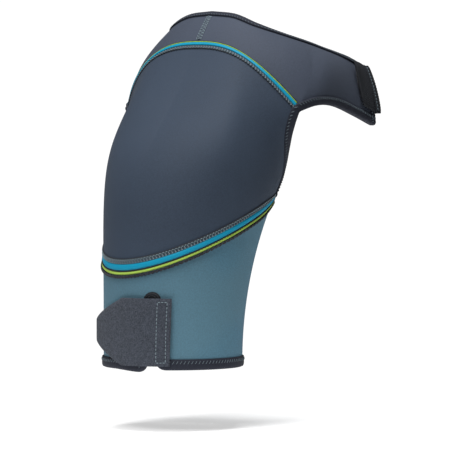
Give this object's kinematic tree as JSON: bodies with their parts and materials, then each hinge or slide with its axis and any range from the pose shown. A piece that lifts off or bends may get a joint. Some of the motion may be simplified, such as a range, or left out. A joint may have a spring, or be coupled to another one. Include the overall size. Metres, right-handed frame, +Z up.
{
  "type": "shoulder compression wrap",
  "caption": "Single shoulder compression wrap: bound neoprene arm sleeve with a slit cuff and closure tab, deltoid cap, yoke with chest and back wings, and an elastic strap joining them.",
  "frame": {"origin": "where the wrap sits on top of the wearer's shoulder, at the middle of its neck edge", "axes": "+Z up, +X to the wearer's neck, -X to the outer side of the arm, -Y to the chest, +Y to the back"},
  "size_m": [0.2329, 0.188, 0.2884],
  "materials": {
    "navy_neoprene": "matte knit faced neoprene, deltoid panel",
    "slate_neoprene": "matte knit faced neoprene, yoke and wings",
    "blue_neoprene": "matte knit faced neoprene, arm sleeve",
    "black_binding": "woven binding tape with zigzag stitching",
    "grey_stitch": "cover stitching and flatlock seams",
    "turquoise_tape": "smooth bias tape",
    "lime_cord": "thin piping cord",
    "charcoal_loop": "brushed loop faced laminate",
    "black_elastic": "woven elastic webbing",
    "hook_tape": "nylon hook tape"
  },
  "bodies": {
    "wrap": {"sleeve_panel": "blue_neoprene", "deltoid_panel": "navy_neoprene", "front_yoke_panel": "slate_neoprene", "back_yoke_panel": "slate_neoprene", "lower_seam_cover_stitch": "grey_stitch", "lower_seam_turquoise_tape": "turquoise_tape", "lower_seam_black_tape": "black_binding", "lower_seam_lime_cord": "lime_cord", "lower_seam_overlock_cord": "black_binding", "upper_seam_cover_stitch": "grey_stitch", "upper_seam_turquoise_tape": "turquoise_tape", "upper_seam_lime_cord": "lime_cord", "shoulder_seam_flatlock": "grey_stitch", "sleeve_closing_seam": "grey_stitch", "neck_binding": "black_binding", "front_underarm_arch_binding": "black_binding", "front_wing_end_binding": "black_binding", "front_armhole_binding": "black_binding", "back_underarm_arch_binding": "black_binding", "back_wing_end_binding": "black_binding", "back_armhole_binding": "black_binding", "underarm_binding": "black_binding", "cuff_hem_binding": "black_binding", "slit_front_binding": "black_binding", "slit_back_binding": "black_binding", "slit_reinforcement": "black_elastic", "closure_tab_sewn_end": "charcoal_loop", "strap_elastic": "black_elastic", "strap_sewn_fold": "black_elastic", "strap_back_reinforcement": "hook_tape"},
    "closure_tab_body": {"closure_tab": "charcoal_loop", "closure_tab_hook_pad": "hook_tape"},
    "strap_hook_tab_body": {"strap_hook_tab": "black_elastic", "strap_hook_pad": "hook_tape"}
  },
  "joints": [
    {"name": "closure_tab_hinge", "type": "hinge", "parent": "wrap", "child": "closure_tab_body", "pos_m": [-0.10577, -0.02474, -0.25594], "axis": [0, 0, 1], "range_deg": [0, 150]},
    {"name": "strap_hook_tab_hinge", "type": "hinge", "parent": "wrap", "child": "strap_hook_tab_body", "pos_m": [0.10072, -0.08827, -0.06147], "axis": [-0.0048, 0.2957, 0.9553], "range_deg": [0, 120]}
  ]
}
